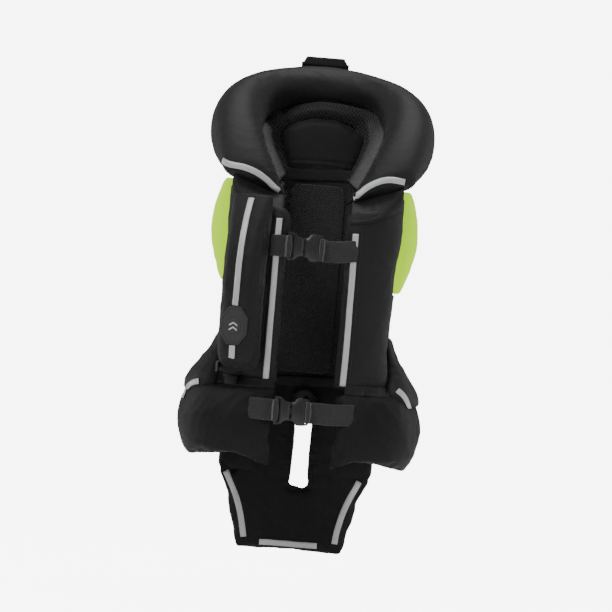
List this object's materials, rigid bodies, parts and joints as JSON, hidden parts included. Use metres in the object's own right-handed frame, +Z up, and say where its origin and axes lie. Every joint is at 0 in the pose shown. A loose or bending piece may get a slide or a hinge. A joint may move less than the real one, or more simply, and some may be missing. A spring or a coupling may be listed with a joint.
{
  "type": "inflatable life jacket",
  "caption": "Vest-type inflatable life jacket with a full collar, front halves closed by side-release buckles, an inflator pocket, hip padding and a slotted tail.",
  "frame": {"origin": "on the flat face of the spine pad, in the middle of the back, 388 mm above the tail's lower end", "axes": "+Z up, front of the vest towards -Y, +X towards the wearer's left"},
  "size_m": [0.36, 0.3254, 0.752],
  "materials": {
    "inner_cloth": "smooth lining cloth",
    "black_cloth": "satin coated nylon",
    "mesh_cloth": "spacer mesh",
    "yellow_cloth": "high-visibility cloth",
    "bladder_film": "coated bladder cloth",
    "tape_silver": "glass-bead reflective tape",
    "webbing_black": "woven webbing",
    "plastic_black": "moulded acetal",
    "rubber_grey": "moulded soft plastic",
    "steel": "plated steel",
    "foam_black": "foam in lining cloth"
  },
  "bodies": {
    "back": {"spine_pad": "foam_black", "back_lining": "mesh_cloth", "back_bladder": "bladder_film", "back_shell": "black_cloth", "back_side_panel_left": "yellow_cloth", "back_side_panel_right": "yellow_cloth", "side_panel_left": "mesh_cloth", "side_panel_right": "mesh_cloth", "hip_back_left": "black_cloth", "hip_back_right": "black_cloth", "collar_shell": "black_cloth", "collar_bladder": "bladder_film", "collar_tape_left": "tape_silver", "collar_tape_right": "tape_silver", "neck_pad": "inner_cloth", "nape_cover": "black_cloth", "neck_mesh_band": "mesh_cloth", "hanging_tab": "webbing_black", "shoulder_yoke_left": "inner_cloth", "shoulder_yoke_right": "inner_cloth"},
    "front_left": {"front_bladder_left": "bladder_film", "front_shell_left": "black_cloth", "hip_wing_left": "black_cloth", "hip_tape_left": "tape_silver", "front_tape_left": "tape_silver", "pocket_cover": "black_cloth", "pocket_tape_upper": "tape_silver", "pocket_tape_lower": "tape_silver", "hex_badge": "rubber_grey", "gas_cylinder": "steel", "inflator_body": "plastic_black", "valve_nut": "steel", "zip_chain": "plastic_black", "strap_upper_left": "webbing_black", "strap_lower_left": "webbing_black", "buckle_upper_male": "plastic_black", "buckle_lower_male": "plastic_black"},
    "front_right": {"front_bladder_right": "bladder_film", "front_shell_right": "black_cloth", "hip_wing_right": "black_cloth", "hip_tape_right": "tape_silver", "front_tape_right": "tape_silver", "strap_upper_right": "webbing_black", "strap_lower_right": "webbing_black", "buckle_upper_female": "plastic_black", "buckle_lower_female": "plastic_black"},
    "tail": {"tail_lining": "black_cloth", "tail_bladder": "bladder_film", "tail_shell": "black_cloth", "tail_tape_left": "tape_silver", "tail_tape_right": "tape_silver", "tail_tape_bottom": "tape_silver"},
    "latch_upper_top": {"latch_upper_top": "plastic_black"},
    "latch_upper_bottom": {"latch_upper_bottom": "plastic_black"},
    "latch_lower_top": {"latch_lower_top": "plastic_black"},
    "latch_lower_bottom": {"latch_lower_bottom": "plastic_black"},
    "slider": {"zip_slider": "steel"},
    "pull": {"zip_pull": "steel"},
    "lever": {"firing_lever": "plastic_black"},
    "pin": {"piercing_pin": "steel"}
  },
  "joints": [
    {"name": "front_left_open", "type": "hinge", "parent": "back", "child": "front_left", "pos_m": [0, 0.01, 0], "axis": [0, 0, -1], "range_deg": [0, 6]},
    {"name": "front_right_open", "type": "hinge", "parent": "back", "child": "front_right", "pos_m": [0, 0.01, 0], "axis": [0, 0, 1], "range_deg": [0, 6]},
    {"name": "tail_fold", "type": "hinge", "parent": "back", "child": "tail", "pos_m": [0, 0.0155, -0.129], "axis": [1, 0, 0], "range_deg": [-10, 50]},
    {"name": "latch_upper_squeeze", "type": "hinge", "parent": "front_left", "child": "latch_upper_top", "pos_m": [-0.0134, -0.21716, 0.0915], "axis": [0, 1, 0], "range_deg": [0, 8], "stiffness_Nm_per_rad": 0.05},
    {"name": "latch_upper_follow", "type": "hinge", "parent": "front_left", "child": "latch_upper_bottom", "pos_m": [-0.0134, -0.21716, 0.0685], "axis": [0, 1, 0], "range_deg": [-8, 0], "stiffness_Nm_per_rad": 0.05},
    {"name": "latch_lower_squeeze", "type": "hinge", "parent": "front_left", "child": "latch_lower_top", "pos_m": [-0.0134, -0.21716, -0.1515], "axis": [0, 1, 0], "range_deg": [0, 8], "stiffness_Nm_per_rad": 0.05},
    {"name": "latch_lower_follow", "type": "hinge", "parent": "front_left", "child": "latch_lower_bottom", "pos_m": [-0.0134, -0.21716, -0.1745], "axis": [0, 1, 0], "range_deg": [-8, 0], "stiffness_Nm_per_rad": 0.05},
    {"name": "zip_slide", "type": "slide", "parent": "front_left", "child": "slider", "axis": [0, 0, 1], "range_m": [0, 0.076]},
    {"name": "zip_pull_swing", "type": "hinge", "parent": "slider", "child": "pull", "pos_m": [-0.12807, -0.17759, -0.1015], "axis": [-0.6613, 0.7501, 0], "range_deg": [0, 150]},
    {"name": "lever_pull", "type": "hinge", "parent": "front_left", "child": "lever", "pos_m": [-0.10828, -0.20974, -0.06], "axis": [-0.3741, -0.9274, 0], "range_deg": [0, 80], "stiffness_Nm_per_rad": 0.004},
    {"name": "pin_travel", "type": "slide", "parent": "front_left", "child": "pin", "axis": [0, 0, 1], "range_m": [0, 0.005]}
  ],
  "couplings": [
    {"joint": "latch_upper_follow", "follows": "latch_upper_squeeze", "ratio": -1},
    {"joint": "latch_lower_follow", "follows": "latch_lower_squeeze", "ratio": -1},
    {"joint": "pin_travel", "follows": "lever_pull", "m_per_rad": 0.0035}
  ]
}
